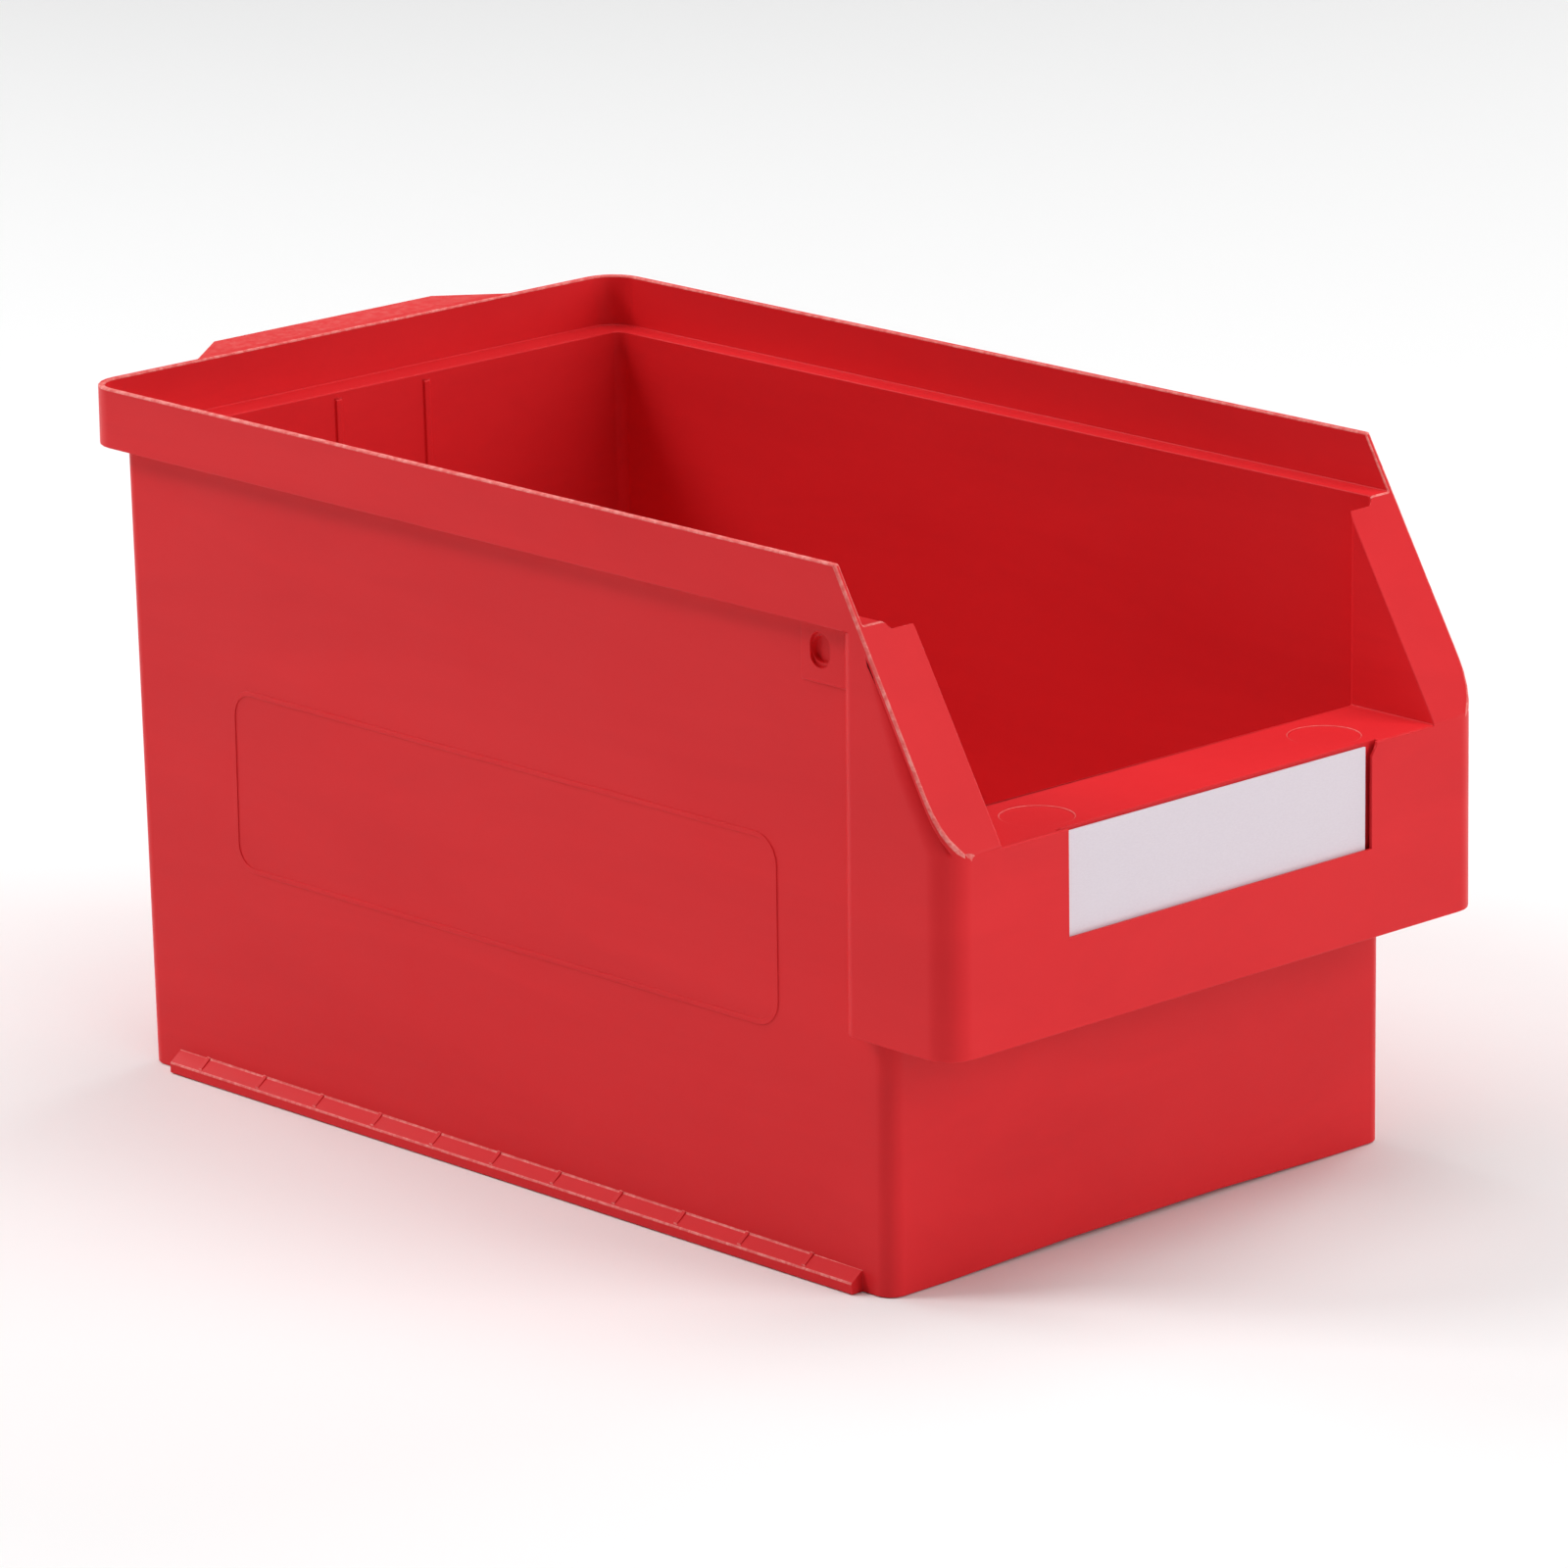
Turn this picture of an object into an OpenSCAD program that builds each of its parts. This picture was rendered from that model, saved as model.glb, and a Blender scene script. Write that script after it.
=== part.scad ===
// Stackable open-front storage bin: one moulded body and a slide-in label card.
// Millimetres, +Z up, +X to the right seen from the front, front face towards -Y.
// The origin is the middle of the bounding box on the floor.

/* [Overall] */
// outside width across the rim
body_w = 205; // [150:1:300]
// length from the front face to the back of the rim
body_l = 349; // [260:1:500]
// height from the floor to the rim
body_h = 200; // [150:1:300]

/* [Shell] */
// thickness of the walls
wall = 2.2; // [1.6:0.1:3.5]
// thickness of the floor
floor_t = 2.6; // [1.8:0.1:4]
// how far the floor is raised above the feet
foot_h = 1.2; // [0.6:0.1:3]
// how far the rear wall leans inwards at the floor
rear_lean = 4.5; // [0:0.5:10]
// radius of the upright corners of the lower box
box_r = 5.2; // [3.5:0.1:10]
// thickness of the upright ribs inside the rear and front walls
rib_t = 2.4; // [1.2:0.1:4]
// how far those ribs stand in from the wall
rib_d = 1.2; // [0.6:0.1:3]
// distance between the two ribs
rib_gap = 34; // [20:1:80]

/* [Stacking collar] */
// height of the band around the rim, measured outside
collar_h = 17.4; // [12:0.1:30]
// how far the band stands outside the side walls
collar_step = 6.4; // [4:0.1:12]
// how far the band stands outside the rear wall
collar_back = 8.4; // [5:0.1:16]
// thickness of the band
collar_t = 1.9; // [1.4:0.1:3]
// radius of the two rear corners of the band
collar_r = 11; // [6:0.5:25]

/* [Front opening] */
// length of the sloped edge, seen from above
slope_run = 42; // [25:1:80]
// height of the ledge the opening ends on
ledge_z = 128; // [90:1:170]
// depth of the ledge from front to rear
ledge_d = 32; // [20:1:60]
// clear width of the opening between the cheeks
mouth_w = 166.6; // [120:0.2:260]
// height of the bottom edge of the front apron
apron_z = 72.8; // [50:0.2:110]
// how far back the cheeks reach from the front face
cheek_l = 40.6; // [30:0.2:80]
// radius of the two front corners
front_r = 8.5; // [4:0.5:20]
// how much wider the front block is at the bottom than at the collar, each side
front_draft = 0.4; // [0:0.1:2]
// radius of the cheeks' outer rear corners
cheek_r = 4.5; // [0:0.5:5]
// thickness of the thin edge left over the rounding below the slope
brow_t = 1.6; // [0.8:0.1:2]
// height up to which that rounding keeps the full front radius
blend_z = 148; // [130:1:190]

/* [Label pocket] */
// width of the window the card shows through
window_w = 116.8; // [60:0.2:160]
// height of the bottom edge of the window
window_z = 98.2; // [80:0.2:120]
// how far the guides reach over the card at each side and below
guide_over = 3.5; // [1.5:0.1:6]
// how far the slot goes down below the window
guide_down = 2; // [1:0.1:4]
// thickness of the guides in front of the card
guide_t = 1.1; // [0.8:0.1:2]
// thickness of the card
card_t = 0.6; // [0.3:0.1:1]
// gap in front of the card, behind it, under it and beside its left end
card_gap = 0.3; // [0.1:0.05:0.6]
// how much shorter than its slot the card is, left free at its right end
card_short = 4.8; // [0:0.1:20]
// how far the card's top edge stays below the ledge
card_low = 1.1; // [0:0.1:10]

/* [Rear lip] */
// how far the hanging lip stands behind the rim
lip_d = 14.2; // [8:0.2:30]
// width of the lip where it meets the rim
lip_w = 120; // [60:1:180]
// width of the lip at its outer edge
lip_edge_w = 84; // [40:1:170]
// drop of the lip's turned-down edge
lip_drop = 6; // [3:0.5:14]

/* [Side details] */
// width of the blind socket in each side wall
sock_d = 7.4; // [5:0.2:12]
// height of the socket's middle
sock_z = 174; // [120:0.2:280]
// distance of the socket's middle behind the front face
sock_back = 53.2; // [45:0.2:120]
// how much taller than wide the socket's mouth is
sock_tall = 2.4; // [0:0.1:5]
// how far the boss around the socket stands out
boss_t = 0.9; // [0.4:0.1:2]
// depth of the socket from the boss's face
sock_depth = 2.3; // [1.5:0.1:3]
// diameter of the two round marks on the ledge
mark_d = 20; // [10:1:28]
// width of the base rail beyond the wall
rail_w = 4.1; // [3:0.1:8]
// height of the rail at its outer edge
rail_edge = 3.1; // [2:0.1:6]
// height of the rail where it meets the wall
rail_root = 6; // [3:0.1:10]
// distance between the small ribs across the rail
rail_pitch = 25; // [15:1:50]
// width of the raised line that frames each side panel
frame_t = 1.4; // [0.8:0.1:3]
// how far that line stands out
frame_h = 0.3; // [0.3:0.1:1.2]

/* [Hidden] */
e = 1;
x_rim = body_w / 2;
y_front = -(body_l + lip_d) / 2;
y_rim = y_front + body_l;
x_box = x_rim - collar_step;
y_box = y_rim - collar_back;
y_slope = y_front + slope_run;
y_step = y_front + cheek_l;
y_wall = y_front + ledge_d;
z_collar = body_h - collar_h;
z_shoulder = z_collar + wall;
x_mouth = mouth_w / 2;
slope_a = atan((body_h - ledge_z) / slope_run);
slope_drop = wall / cos(slope_a);
floor_top = foot_h + floor_t;
r_in = box_r - wall;
slot_t = card_t + 2 * card_gap;
pocket_back = guide_t + slot_t + wall;
x_slot = window_w / 2 + guide_over;
slot_z = window_z - guide_down;
y_sock = y_front + sock_back;
card_z = slot_z + card_gap;
card_w = 2 * x_slot - card_gap - card_short;
card_h = ledge_z - card_low - card_z;
card_x = -x_slot + card_gap + card_w / 2;
rail_y0 = y_step;
rail_y1 = y_box - 18;
panel_y0 = y_step + 31;
panel_y1 = y_box - 46;
panel_z0 = 66;
panel_z1 = 119.5;
panel_r = 8;
red = [0.78, 0.12, 0.11];
paper = [0.93, 0.92, 0.94];

// corner of an outline: six steps round a radius, or one sharp point where the radius is 0
function corner(sx, x, y, sy, r, a0) = r <= 0 ? [[x, y]] :
  [for (i = [0 : 6]) [x - sx * r + r * cos(a0 + 15 * i), y - sy * r + r * sin(a0 + 15 * i)]];

// rounded rectangle from (x0,y0) to (x1,y1); rf rounds the front corners, rb the rear ones
function outline(x0, y0, x1, y1, rf, rb) = concat(corner(-1, x0, y0, -1, rf, 180),
  corner(1, x1, y0, -1, rf, 270), corner(1, x1, y1, 1, rb, 0), corner(-1, x0, y1, 1, rb, 90));

module plan(x0, y0, x1, y1, rf, rb) polygon(outline(x0, y0, x1, y1, rf, rb));

// a block whose bottom and top outlines differ, drawn as one drafted solid
module drafted(x, y0, yb, yt, rf, rb, z0, z1, dx = 0, dy = 0) {
  lo = [for (q = outline(-x, y0, x, yb, rf, rb)) [q[0], q[1], z0]];
  hi = [for (q = outline(dx - x, y0 + dy, x - dx, yt, rf, rb)) [q[0], q[1], z1]];
  n = len(lo);
  polyhedron(points = concat(lo, hi),
    faces = concat([[for (i = [0 : n - 1]) i]], [[for (i = [n - 1 : -1 : 0]) n + i]],
      [for (i = [0 : n - 1]) [i, n + i, n + (i + 1) % n, (i + 1) % n]]));
}

// a profile in the Y-Z plane drawn out along X, centred on x = 0
module along_x(w) {
  translate([-w / 2, 0, 0]) rotate([90, 0, 90]) linear_extrude(w) children();
}

// everything in front of and above the sloped edge
module slope_cut(drop = 0) {
  k = (body_h - ledge_z) / slope_run;
  along_x(body_w + 4) polygon([[y_slope + 40 / k, body_h + 40 - drop],
    [y_front - 20, ledge_z - 20 * k - drop], [y_front - 60, ledge_z - 20 * k - drop],
    [y_front - 60, body_h + 40 - drop]]);
}

// what is cut from the front corners below the slope: a rounding that fades out upwards;
// cut at the same centre but with a radius smaller by inset, it bounds the hollow inside
module corner_blends(inset) {
  function y_at(z) = y_slope - (body_h - z) * slope_run / (body_h - ledge_z);
  function x_at(z) = x_rim + front_draft * max(z_collar - z, 0) / (z_collar - apron_z);
  function ring(z, r) = let (cx = x_at(z) - r, cy = y_at(z) + r, q = max(r - inset, 0.2))
    concat([[x_rim + 2, cy, z], [cx + q, cy, z]],
      [for (i = [1 : 6]) [cx + q * cos(15 * i), cy - q * sin(15 * i), z]],
      [[cx, y_at(z) - 4, z], [x_rim + 2, y_at(z) - 4, z]]);
  rings = [ring(ledge_z - 3, front_r), ring(blend_z, front_r), ring(z_collar, 0.8)];
  n = len(rings[0]);
  for (s = [0, 1]) mirror([s, 0, 0]) polyhedron(points = concat(rings[0], rings[1], rings[2]),
    faces = concat([[for (i = [0 : n - 1]) i]], [[for (i = [n - 1 : -1 : 0]) 2 * n + i]],
      [for (k = [0, 1], i = [0 : n - 1], h = [0, 1]) let (a = k * n, j = (i + 1) % n)
        h == 0 ? [a + i, a + n + j, a + j] : [a + i, a + n + i, a + n + j]]));
}

// the whole outside form, solid
module outer_form() {
  lean = rear_lean * (body_h - z_collar) / body_h;
  difference() {
    union() {
      drafted(x_box, y_wall - wall, y_box - rear_lean, y_box - lean, box_r, box_r, 0, z_collar + e);
      translate([0, 0, z_collar]) linear_extrude(collar_h)
        plan(-x_rim, y_front + front_draft, x_rim, y_rim, front_r, collar_r);
      drafted(x_rim + front_draft, y_front, y_step, y_step, front_r, cheek_r, apron_z, z_collar + 0.01,
        dx = front_draft, dy = front_draft);
    }
    slope_cut();
    difference() {
      corner_blends(0);
      slope_cut(brow_t / cos(slope_a));
    }
  }
}

// the hollow that holds the contents, open at the top and at the front
module inside() {
  lean = rear_lean * (body_h - z_collar) / body_h;
  drafted(x_box - wall, y_wall, y_box - rear_lean - wall, y_box - lean - wall, r_in, r_in,
    floor_top, body_h + e);
  translate([0, 0, z_shoulder]) linear_extrude(collar_h)
    plan(-x_rim + collar_t, y_wall - 2, x_rim - collar_t, y_rim - collar_t, 0, collar_r - collar_t);
  translate([-x_mouth, y_front - e, ledge_z])
    cube([mouth_w, ledge_d + 2 * e, body_h]);
}

// the space under the ledge and inside the cheeks, open at the bottom
module front_hollow() {
  x_in = x_rim - wall;
  difference() {
    union() {
      translate([0, 0, apron_z - e]) linear_extrude(ledge_z - wall - apron_z + e)
        plan(-x_in, y_front + wall + front_draft, x_in, y_wall - wall, front_r - wall, 0);
      for (s = [-1, 1]) translate([s > 0 ? x_mouth + wall : -x_in, y_front + wall + 2, apron_z - e])
        cube([x_in - x_mouth - wall, ledge_d - 2 * wall - 2, body_h]);
      for (s = [-1, 1]) translate([s > 0 ? x_box : -x_in, y_wall - wall - e, apron_z - e])
        cube([x_in - x_box, y_step - y_wall + e, z_collar - apron_z + e]);
    }
    slope_cut(slope_drop);
    corner_blends(wall);
    pocket_block();
  }
}

// thick wall behind the label pocket
module pocket_block() {
  translate([-x_slot - wall, y_front - e, slot_z - wall])
    cube([2 * (x_slot + wall), pocket_back + e, ledge_z - slot_z + wall + e]);
}

// window and slot of the label pocket, with a flared notch at the right end
module pocket_cut() {
  translate([-window_w / 2, y_front - e, window_z])
    cube([window_w, guide_t + slot_t + e, ledge_z - window_z + e]);
  translate([-x_slot, y_front + guide_t, slot_z])
    cube([2 * x_slot, slot_t, ledge_z - slot_z + e]);
  translate([window_w / 2 - 0.1, y_front + guide_t + 0.02, 0]) rotate([90, 0, 0])
    linear_extrude(guide_t + e) polygon([[0, ledge_z - 4], [0, ledge_z + e],
      [0.6 * guide_over, ledge_z + e], [0.6 * guide_over, ledge_z - 0.7],
      [0.48 * guide_over, ledge_z - 1.7], [0.25 * guide_over, ledge_z - 2.8]]);
}

module rear_lip() {
  difference() {
    translate([0, 0, body_h - wall - lip_drop]) linear_extrude(wall + lip_drop)
      polygon([[-lip_w / 2, y_rim - 0.5 * wall], [lip_w / 2, y_rim - 0.5 * wall],
        [lip_w / 2, y_rim], [lip_edge_w / 2, y_rim + lip_d], [-lip_edge_w / 2, y_rim + lip_d],
        [-lip_w / 2, y_rim]]);
    translate([-lip_w, y_rim, body_h - wall - lip_drop - e])
      cube([2 * lip_w, lip_d - wall, lip_drop + e]);
  }
}

module side_details() {
  // base rail with its small cross ribs
  rotate([90, 0, 0]) translate([0, 0, -rail_y1]) linear_extrude(rail_y1 - rail_y0)
    polygon([[x_box - 1, 0], [x_box + rail_w, 0], [x_box + rail_w, rail_edge],
      [x_box, rail_root], [x_box - 1, rail_root]]);
  for (y = [rail_y0 + 20 : rail_pitch : rail_y1 - 10])
    translate([0, y, 0]) rotate([90, 0, 0]) linear_extrude(1.4)
      polygon([[x_box - 1, 1], [x_box + rail_w - 0.6, 1], [x_box + rail_w - 0.6, rail_edge + 0.7],
        [x_box, rail_root + 0.45], [x_box - 1, rail_root + 0.45]]);
  // boss around the socket, reaching the band above and the cheek in front
  translate([x_box - 1, y_step - e, sock_z - 9]) cube([1 + boss_t, y_sock + 7.4 - y_step + e,
    z_collar - sock_z + 9 + e]);
  // raised frame line
  rotate([90, 0, 90]) translate([0, 0, x_box - 1]) linear_extrude(1 + frame_h) difference() {
    plan(panel_y0, panel_z0, panel_y1, panel_z1, panel_r, panel_r);
    plan(panel_y0 + frame_t, panel_z0 + frame_t, panel_y1 - frame_t, panel_z1 - frame_t,
      panel_r - frame_t, panel_r - frame_t);
  }
}

// blind socket in both side walls: a tall oval mouth with a round bore in its floor
module sockets() {
  for (s = [0, 1]) mirror([s, 0, 0]) translate([x_box + boss_t, y_sock, sock_z]) {
    rotate([0, 90, 0]) translate([0, 0, -sock_depth]) cylinder(d = sock_d, h = sock_depth + e, $fn = 48);
    translate([-1, 0, 0]) rotate([90, 0, 90]) linear_extrude(1 + e) {
      for (t = [-1, 1]) translate([0, t * sock_tall / 2]) circle(d = sock_d, $fn = 48);
      square([sock_d, sock_tall], center = true);
    }
  }
}

// two shallow round marks in the ledge
module ledge_marks() {
  for (s = [-1, 1]) translate([s * 0.54 * x_rim, y_front + ledge_d / 2 - 1, ledge_z - 0.3])
    cylinder(d = mark_d, h = 2, $fn = 64);
}

module wall_ribs() {
  top = z_collar;
  for (s = [-1, 1]) translate([s * rib_gap / 2 - rib_t / 2, 0, 0]) {
    rotate([90, 0, 90]) linear_extrude(rib_t) polygon([
      [y_box - rear_lean - wall + 0.6, floor_top - 0.5],
      [y_box - rear_lean * (body_h - top) / body_h - wall + 0.6, top],
      [y_box - rear_lean * (body_h - top) / body_h - wall - rib_d, top],
      [y_box - rear_lean - wall - rib_d, floor_top - 0.5]]);
    translate([0, y_wall - 0.6, floor_top - 0.5]) cube([rib_t, rib_d + 0.6, ledge_z - floor_top - 14]);
  }
}

// underside: floor raised on a rim, with the rim relieved across the front and the back
module underside() {
  m = 6;
  translate([0, 0, -e]) linear_extrude(foot_h + e)
    plan(-x_box + m, y_wall - wall + m, x_box - m, y_box - rear_lean - m, 3, 3);
  rotate([90, 0, 0]) translate([0, 0, -y_rim - e]) linear_extrude(2 * y_rim + 2 * e)
    polygon([[-0.78 * x_box, -e], [-0.78 * x_box, 0], [-0.3 * x_box, foot_h - 0.1],
      [0.3 * x_box, foot_h - 0.1], [0.78 * x_box, 0], [0.78 * x_box, -e]]);
}

module bin_body() {
  color(red) difference() {
    union() {
      difference() {
        outer_form();
        inside();
        front_hollow();
      }
      rear_lip();
      for (s = [0, 1]) mirror([s, 0, 0]) side_details();
      wall_ribs();
    }
    sockets();
    ledge_marks();
    pocket_cut();
    underside();
  }
}

module label_card() {
  color(paper) translate([card_x - card_w / 2, y_front + guide_t + (slot_t - card_t) / 2, card_z])
    cube([card_w, card_t, card_h]);
}

bin_body();
label_card();
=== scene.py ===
import bpy, bmesh, math
from mathutils import Matrix, Vector


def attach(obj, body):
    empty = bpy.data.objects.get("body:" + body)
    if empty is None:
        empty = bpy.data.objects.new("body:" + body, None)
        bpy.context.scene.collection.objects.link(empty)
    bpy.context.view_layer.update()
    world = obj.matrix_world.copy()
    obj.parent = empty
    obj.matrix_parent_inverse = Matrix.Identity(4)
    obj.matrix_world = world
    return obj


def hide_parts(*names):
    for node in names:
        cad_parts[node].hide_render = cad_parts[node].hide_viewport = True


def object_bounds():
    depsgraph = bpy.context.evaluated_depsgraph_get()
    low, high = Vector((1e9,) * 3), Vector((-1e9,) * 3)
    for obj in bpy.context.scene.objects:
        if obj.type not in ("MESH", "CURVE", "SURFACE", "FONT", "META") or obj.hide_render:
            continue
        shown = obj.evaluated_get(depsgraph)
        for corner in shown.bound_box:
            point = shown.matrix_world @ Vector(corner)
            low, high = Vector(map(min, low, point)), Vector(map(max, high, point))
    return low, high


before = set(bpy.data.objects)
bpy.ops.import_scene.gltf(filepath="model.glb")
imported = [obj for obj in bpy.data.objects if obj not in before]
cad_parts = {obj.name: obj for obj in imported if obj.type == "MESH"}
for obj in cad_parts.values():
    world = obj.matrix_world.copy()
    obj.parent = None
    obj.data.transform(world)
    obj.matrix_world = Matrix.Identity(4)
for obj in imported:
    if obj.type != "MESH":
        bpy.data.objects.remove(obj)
cad_lo, cad_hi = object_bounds()
mm = 0.001
scene = bpy.context.scene
scene.view_settings.view_transform = "Standard"

# ---------------------------------------------------------------- where things lie on the moulding
RIM_X, TOP_Z = cad_hi[0], cad_hi[2]
FRONT_Y = cad_lo[1]
RIM_Y = cad_hi[1] - 14.2 * mm                               # outer face of the rear rim
LEDGE_Z, WALL_Y = 128 * mm, FRONT_Y + 32 * mm               # the ledge, and the front wall's inner face
MOUTH_X, BOX_X = 83.3 * mm, 96.1 * mm                       # cheeks' inner faces, the box's outer faces
SLOPE_RUN, SLOPE_RISE = 42, 72                              # mm, from the front to the rim's front end
FRAME_Y, FRAME_Z = (-115 * mm, 118 * mm), (60 * mm, 125 * mm)  # inside these the raised frame line lies
POCKET_X, POCKET_Z = 64 * mm, 90 * mm                       # half width and bottom of the label pocket
MARKS_X = 76 * mm                                           # the ledge's round marks lie within this
MARK_STEP = 3 * mm                                          # longest edge on the outline of a mark
SOCKET_Y, SOCKET_Z = 128.4 * mm, 174 * mm                   # centre of a side socket, at minus SOCKET_Y
RAIL_TOP, RAIL_END = 7.5 * mm, 20 * mm                      # height of the rails, shortest long edge on them

# how far each kind of edge is rounded
ROUND = {kind: size * mm for kind, size in {
    "frame_line": 0.12, "pocket": 0.16, "mark": 0.22, "cheek_rear": 2.0, "rail": 0.4, "rail_rib": 0.15,
    "socket": 0.15, "rim": 0.6, "slope": 0.8, "slope_front": 0.6, "ledge_rear": 1.0, "ledge_front": 0.6,
    "other": 0.45}.items()}
WIDEST = max(ROUND.values())
SHARP = math.radians(22)                                    # only edges that turn by more are rounded

# ---------------------------------------------------------------- camera, solved from the photograph
YAW, PITCH, ROLL = 43.493, -15.602, -0.771
CAMERA_AT, LENS = (-1.5989, -1.6972, 0.7443), 197.43

yaw, pitch, roll = (math.radians(a) for a in (YAW, PITCH, ROLL))
fwd = Vector((math.sin(yaw) * math.cos(pitch), math.cos(yaw) * math.cos(pitch), math.sin(pitch)))
right = fwd.cross(Vector((0, 0, 1))).normalized()
up = right.cross(fwd)
cam_x = math.cos(roll) * right + math.sin(roll) * up
cam_y = -math.sin(roll) * right + math.cos(roll) * up
cam_data = bpy.data.cameras.new("camera")
cam_data.sensor_width = 36
cam_data.lens = LENS
cam_data.clip_start, cam_data.clip_end = 0.1, 60
cam = bpy.data.objects.new("camera", cam_data)
scene.collection.objects.link(cam)
place = Matrix((cam_x, cam_y, -fwd)).transposed().to_4x4()
place.translation = Vector(CAMERA_AT)
cam.matrix_world = place
scene.camera = cam

# ---------------------------------------------------------------- materials
RED_DEEP, RED_BRIGHT = (0.70, 0.0200, 0.0255, 1), (0.77, 0.0235, 0.0290, 1)
# the last colour here is the pale pink of scuffs, also used as painted highlight and painted reflection
RED_CLOUD, RED_SCUFF_AND_HIGHLIGHT = (0.735, 0.0250, 0.0300, 1), (0.95, 0.38, 0.34, 1)
PAPER_DARK, PAPER_LIGHT = (0.735, 0.655, 0.715, 1), (0.775, 0.700, 0.760, 1)
FLOOR_GREY = (0.91, 0.91, 0.91, 1)
LIP_SHEEN, RUBBED_AND_HIGHLIT = 0.24, 0.75                               # paleness of the hanging lip, a painted reflection, and of rubbed edges, scuffs with painted highlight
NEAR_RIM_X = (-0.1005, -0.096)                              # the rim top's painted highlight and wear fade between these, from the left rim
RIM_WEAR_AND_HIGHLIGHT = (0.85, 0.15)                                     # painted highlight and wear on the left rim, on the rest of the rim


class Nodes:
    """A material's node tree, with one short call for each node."""

    def __init__(self, name):
        self.mat = bpy.data.materials.new(name)
        self.mat.use_nodes = True
        self.tree = self.mat.node_tree
        self.bsdf = self.tree.nodes["Principled BSDF"]
        self.coord = self.tree.nodes.new("ShaderNodeTexCoord").outputs["Object"]

    def feed(self, socket, value):
        """Link the socket to another node's output, or set it to a value."""
        if isinstance(value, bpy.types.NodeSocket):
            self.tree.links.new(value, socket)
        else:
            socket.default_value = value

    def node(self, kind, props=None, **inputs):
        """Inputs are given by name, with _ for a space, or as i0, i1 by number."""
        n = self.tree.nodes.new("ShaderNode" + kind)
        for k, v in (props or {}).items():
            setattr(n, k, v)
        for k, v in inputs.items():
            by_number = k[0] == "i" and k[1:].isdigit()
            self.feed(n.inputs[int(k[1:])] if by_number else n.inputs[k.replace("_", " ")], v)
        return n

    def noise(self, scale, detail, rough=0.55, vector=None, distort=0.0):
        return self.node("TexNoise", Vector=vector or self.coord, Scale=scale, Detail=detail,
                         Roughness=rough, Distortion=distort).outputs["Fac"]

    def ramp(self, value, lo, hi, out_lo, out_hi):
        return self.node("MapRange", dict(clamp=True), Value=value, From_Min=lo, From_Max=hi,
                         To_Min=out_lo, To_Max=out_hi).outputs["Result"]

    def math(self, op, a, b):
        return self.node("Math", dict(operation=op), i0=a, i1=b).outputs[0]

    def mix(self, fac, a, b):
        return self.node("Mix", dict(data_type="RGBA"), i0=fac, i6=a, i7=b).outputs[2]

    def bump(self, strength, distance, height, **more):
        return self.node("Bump", Strength=strength, Distance=distance, Height=height, **more).outputs[0]


def red_plastic(name, rub_and_highlight):
    """The moulding's plastic; the second argument sets how pale it is, as scuffs with painted highlight. The
    hanging lip is always pale, a painted reflection.
    """
    k = Nodes(name)
    axis = k.node("SeparateXYZ", Vector=k.coord).outputs
    # the lip's paleness is a painted reflection; the rim top's is painted highlight with some wear,
    # strongest on the left rim
    lip = k.ramp(axis["Y"], RIM_Y, RIM_Y + 2 * mm, rub_and_highlight, max(rub_and_highlight, LIP_SHEEN))
    rim = k.math("MULTIPLY", k.ramp(axis["Z"], TOP_Z - 0.5 * mm, TOP_Z - 0.1 * mm, 0, 1),
                 k.ramp(axis["X"], *NEAR_RIM_X, *RIM_WEAR_AND_HIGHLIGHT))
    most = k.math("MAXIMUM", lip, rim)
    # colour: slow streaks of the melt, then faint clouds, then pale scuffs mixed with painted highlight on
    # the rim and edges and a painted reflection on the hanging lip
    stretch = k.node("Mapping", Vector=k.coord, Scale=(9, 4, 22)).outputs[0]
    streak = k.noise(1.6, 4, 0.6, stretch, 0.6)
    cloud = k.noise(11, 3, 0.5)
    col = k.mix(k.ramp(streak, 0.3, 0.7, 0, 1), RED_DEEP, RED_BRIGHT)
    col = k.mix(k.ramp(cloud, 0.35, 0.7, 0, 0.5), col, RED_CLOUD)
    # fine noise breaks the painted highlight, painted reflection and scuffs into a scuffed pattern
    scuff_and_highlight = k.math("MULTIPLY", most, k.ramp(k.noise(380, 4, 0.7, None, 0.5), 0.42, 0.66, 0.35, 1))
    k.feed(k.bsdf.inputs["Base Color"], k.mix(scuff_and_highlight, col, RED_SCUFF_AND_HIGHLIGHT))
    # gloss: satin moulding texture, a little smoother in patches, rougher under the scuffs and painted
    # highlight
    rough = k.ramp(k.noise(26, 4, 0.6, None, 0.4), 0.3, 0.7, 0.34, 0.44)
    k.feed(k.bsdf.inputs["Roughness"], k.math("ADD", rough, k.math("MULTIPLY", scuff_and_highlight, 0.12)))
    k.bsdf.inputs["IOR"].default_value = 1.49
    k.bsdf.inputs["Specular IOR Level"].default_value = 0.14
    # relief: spark-eroded grain, then slow sinking of the large walls
    grain = k.bump(0.18, 0.00005, k.noise(2600, 2, 0.5))
    k.feed(k.bsdf.inputs["Normal"], k.bump(0.22, 0.0022, k.noise(7.5, 1, 0.4), Normal=grain))
    return k.mat


def card_paper():
    k = Nodes("label_paper")
    fibre = k.node("Mapping", Vector=k.coord, Scale=(1, 1, 3)).outputs[0]
    tone = k.ramp(k.noise(900, 4, 0.7, fibre), 0.3, 0.7, 0, 1)
    k.feed(k.bsdf.inputs["Base Color"], k.mix(tone, PAPER_DARK, PAPER_LIGHT))
    k.feed(k.bsdf.inputs["Roughness"], k.ramp(k.noise(1500, 2), 0.3, 0.7, 0.55, 0.68))
    k.feed(k.bsdf.inputs["Normal"], k.bump(0.25, 0.00003, k.noise(2200, 3, 0.6, fibre)))
    return k.mat


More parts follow.
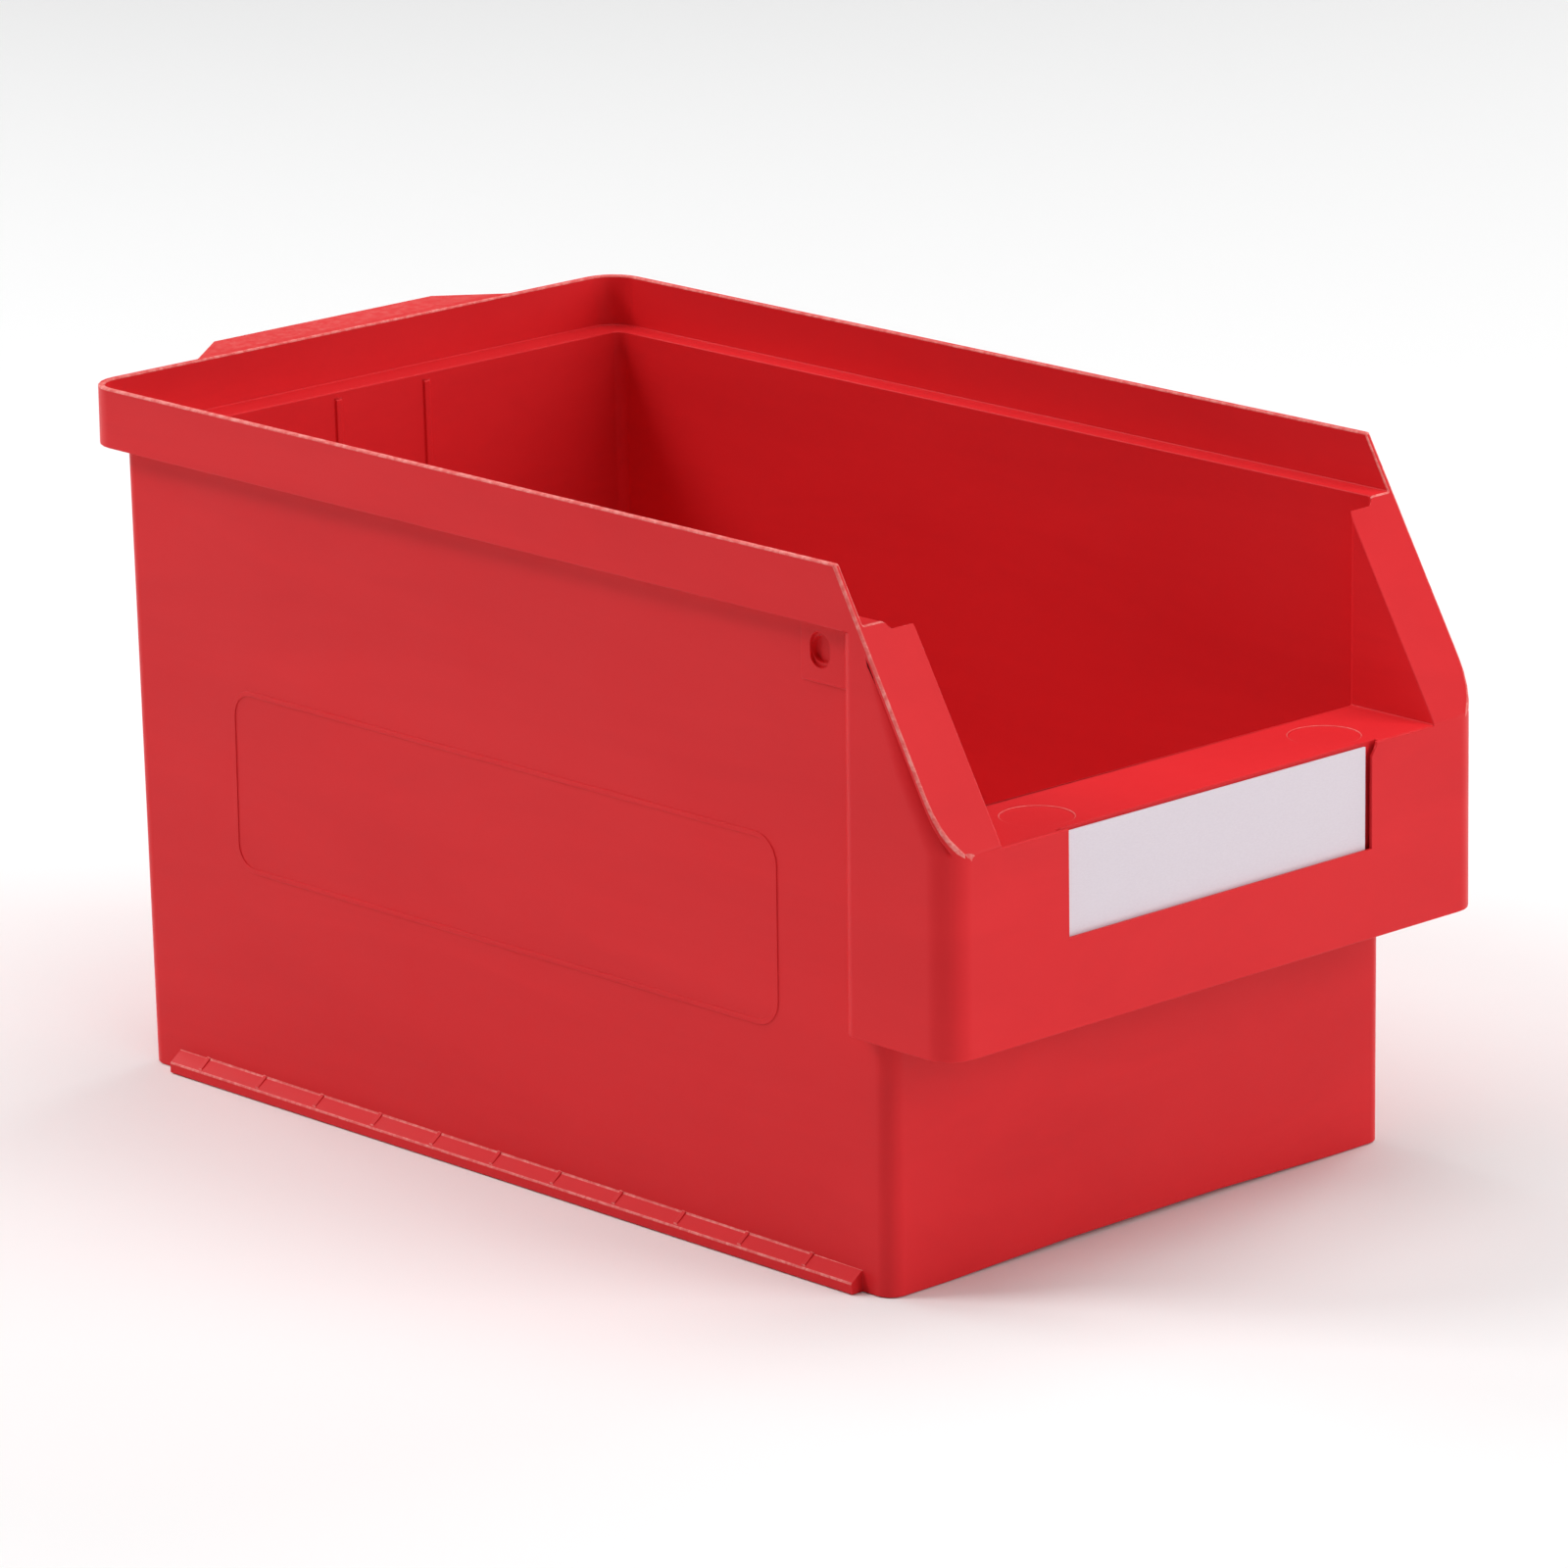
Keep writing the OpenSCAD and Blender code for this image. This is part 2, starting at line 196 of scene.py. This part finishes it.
# ---------------------------------------------------------------- the moulding
def near(a, b, tol=0.35 * mm):
    return abs(a - b) < tol


def on_slope(v):
    return abs(v.z - TOP_Z + (FRONT_Y + SLOPE_RUN * mm - v.y) * SLOPE_RISE / SLOPE_RUN) < 0.3 * mm


def is_worn_or_highlit(e):
    """Edges whose rounds are painted pale, as scuffs with painted highlight: on the rim, the slope's outer
    edge or its front end, the base rails or the ledge's marks.
    """
    p, d = (e.verts[0].co + e.verts[1].co) / 2, e.verts[1].co - e.verts[0].co
    lengthwise = abs(d.y) > 0.9 * d.length
    if lengthwise and abs(p.x) > BOX_X - 0.1 * mm and 2.9 * mm < p.z < 6.7 * mm:
        return True
    on_ledge = p.z > LEDGE_Z - 0.1 * mm and p.y < WALL_Y - 3 * mm
    # the ledge marks' upper rims are painted pale: a painted highlight
    if on_ledge and d.length < MARK_STEP and abs(p.x) < MARKS_X:
        return e.is_convex and p.y > FRONT_Y + 4 * mm
    if all(v.co.z > TOP_Z - 0.1 * mm for v in e.verts):
        return True
    reach = MOUTH_X - 0.5 * mm if p.z < LEDGE_Z + 0.3 * mm else MOUTH_X + 9 * mm
    return all(on_slope(v.co) and abs(v.co.x) > reach for v in e.verts)


def edge_kind(e):
    """What an edge belongs to, from where it lies on the moulding; None for one that stays sharp."""
    a, b = e.verts[0].co, e.verts[1].co
    p, d = (a + b) / 2, (b - a)
    length = d.length
    x, y, z = abs(p.x), p.y, p.z
    upright = abs(d.z) > 0.9 * length
    if BOX_X - 0.2 * mm < x and FRAME_Z[0] < z < FRAME_Z[1] and FRAME_Y[0] < y < FRAME_Y[1]:
        return "frame_line"
    if y < FRONT_Y + 3 * mm and x < POCKET_X and POCKET_Z < z < LEDGE_Z + 1 * mm:
        return "pocket"
    on_ledge = LEDGE_Z - 1 * mm < z < LEDGE_Z + 0.4 * mm and y < WALL_Y - 3 * mm
    if on_ledge and x < MARKS_X and length < MARK_STEP:
        return "mark"
    if near(x, MOUTH_X) and near(y, WALL_Y) and upright:
        return "cheek_rear"
    if x > BOX_X - 0.3 * mm and z < RAIL_TOP:
        return "rail" if length > RAIL_END else "rail_rib"
    in_socket = abs(y + SOCKET_Y) < 5.5 * mm and abs(z - SOCKET_Z) < 6.6 * mm
    if x > BOX_X - 2.5 * mm and in_socket:
        return "socket" if x > BOX_X + 0.8 * mm else None   # rounded at the mouth only
    if z > TOP_Z - 0.1 * mm:
        return "rim"
    if on_slope(a) and on_slope(b) and (x > RIM_X - 1.6 * mm or y < FRONT_Y + 9 * mm):
        return "slope" if x > MOUTH_X + 9 * mm else "slope_front"
    if near(y, WALL_Y, 0.6 * mm) and near(z, LEDGE_Z):
        return "ledge_rear"
    if near(y, FRONT_Y, 1 * mm) and near(z, LEDGE_Z):
        return "ledge_front"
    return "other"


def moulding(source, name):
    """The moulding with its edges rounded, made from the frame's mesh."""
    bm = bmesh.new()
    bm.from_mesh(source.data)
    bmesh.ops.remove_doubles(bm, verts=bm.verts, dist=2e-6)
    bmesh.ops.dissolve_limit(bm, angle_limit=math.radians(0.3), use_dissolve_boundaries=False,
                             verts=bm.verts, edges=bm.edges)
    bmesh.ops.dissolve_degenerate(bm, dist=1e-6, edges=bm.edges)
    bm.normal_update()
    layers = {k: bm.edges.layers.float.new(k) for k in ("hollow", "outer", "worn")}
    for e in bm.edges:
        if len(e.link_faces) == 2 and e.calc_face_angle(0) > SHARP:
            width = ROUND.get(edge_kind(e), 0)
            layer = "worn" if is_worn_or_highlit(e) else "outer" if e.is_convex else "hollow"
            e[layers[layer]] = width / WIDEST
            e.smooth = width > 0
    me = bpy.data.meshes.new(name)
    bm.to_mesh(me)
    bm.free()
    for p in me.polygons:
        p.use_smooth = True
    ob = bpy.data.objects.new(name, me)
    scene.collection.objects.link(ob)
    # rounds on the pale edges take the second material: scuffs with painted highlight
    for layer, index in (("hollow", -1), ("outer", -1), ("worn", 1)):
        bev = ob.modifiers.new(layer, "BEVEL")
        bev.limit_method, bev.edge_weight = "WEIGHT", layer
        bev.offset_type = "OFFSET"
        bev.width, bev.segments, bev.profile = WIDEST, 3, 0.5
        bev.miter_outer = "MITER_SHARP"
        bev.use_clamp_overlap = False
        bev.material = index
    flat = ob.modifiers.new("flat_faces", "WEIGHTED_NORMAL")
    flat.mode, flat.weight, flat.keep_sharp = "FACE_AREA", 90, True
    return ob


shell = moulding(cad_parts["bin_body"], "bin_moulding")
shell.data.materials.append(red_plastic("red_polypropylene", 0.0))
# the second material, for the pale edge rounds: scuffs with painted highlight
shell.data.materials.append(red_plastic("red_polypropylene_rubbed_highlit", RUBBED_AND_HIGHLIT))
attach(shell, "bin")
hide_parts("bin_body")

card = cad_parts["label_card"]
card.data.materials.clear()
card.data.materials.append(card_paper())

# ---------------------------------------------------------------- studio
FLOOR_HALF, FLOOR_GAP, WORLD_LIGHT = 9, 0.0002, 0.06
SOFTBOXES = (                                               # name, where, aimed at, side, watts
    ("top", (0.1, -0.35, 2.4), (0, 0, 0), 2.4, 38),
    ("front", (1.25, -2.6, 1.2), (0, 0, 0.1), 1.8, 41),
    ("right", (2.7, 0.3, 1.3), (0, 0, 0.1), 1.8, 26),
    ("back", (-0.4, 2.7, 1.5), (0, 0, 0.1), 1.8, 32),
    ("left_high", (-1.7, 1.45, 2.05), (0, 0, 0.1), 0.9, 33),
)

floor_look = bpy.data.materials.new("floor")
floor_look.use_nodes = True
bsdf = floor_look.node_tree.nodes["Principled BSDF"]
bsdf.inputs["Base Color"].default_value = FLOOR_GREY
bsdf.inputs["Roughness"].default_value = 0.8

floor_mesh = bpy.data.meshes.new("floor")
bm = bmesh.new()
bmesh.ops.create_grid(bm, x_segments=4, y_segments=4, size=FLOOR_HALF)
bm.to_mesh(floor_mesh)
bm.free()
floor_mesh.materials.append(floor_look)
floor = bpy.data.objects.new("floor", floor_mesh)
floor.location = (0, 0, cad_lo[2] - FLOOR_GAP)
scene.collection.objects.link(floor)

world = bpy.data.worlds.new("studio")
world.use_nodes = True
background = world.node_tree.nodes["Background"].inputs
background["Color"].default_value = (1, 1, 1, 1)
background["Strength"].default_value = WORLD_LIGHT
scene.world = world

for name, at, to, side, power in SOFTBOXES:
    data = bpy.data.lights.new(name, "AREA")
    data.shape, data.size, data.size_y = "RECTANGLE", side, side
    data.energy = power
    ob = bpy.data.objects.new(name, data)
    ob.location = at
    ob.rotation_euler = (Vector(to) - Vector(at)).to_track_quat("-Z", "Y").to_euler()
    scene.collection.objects.link(ob)
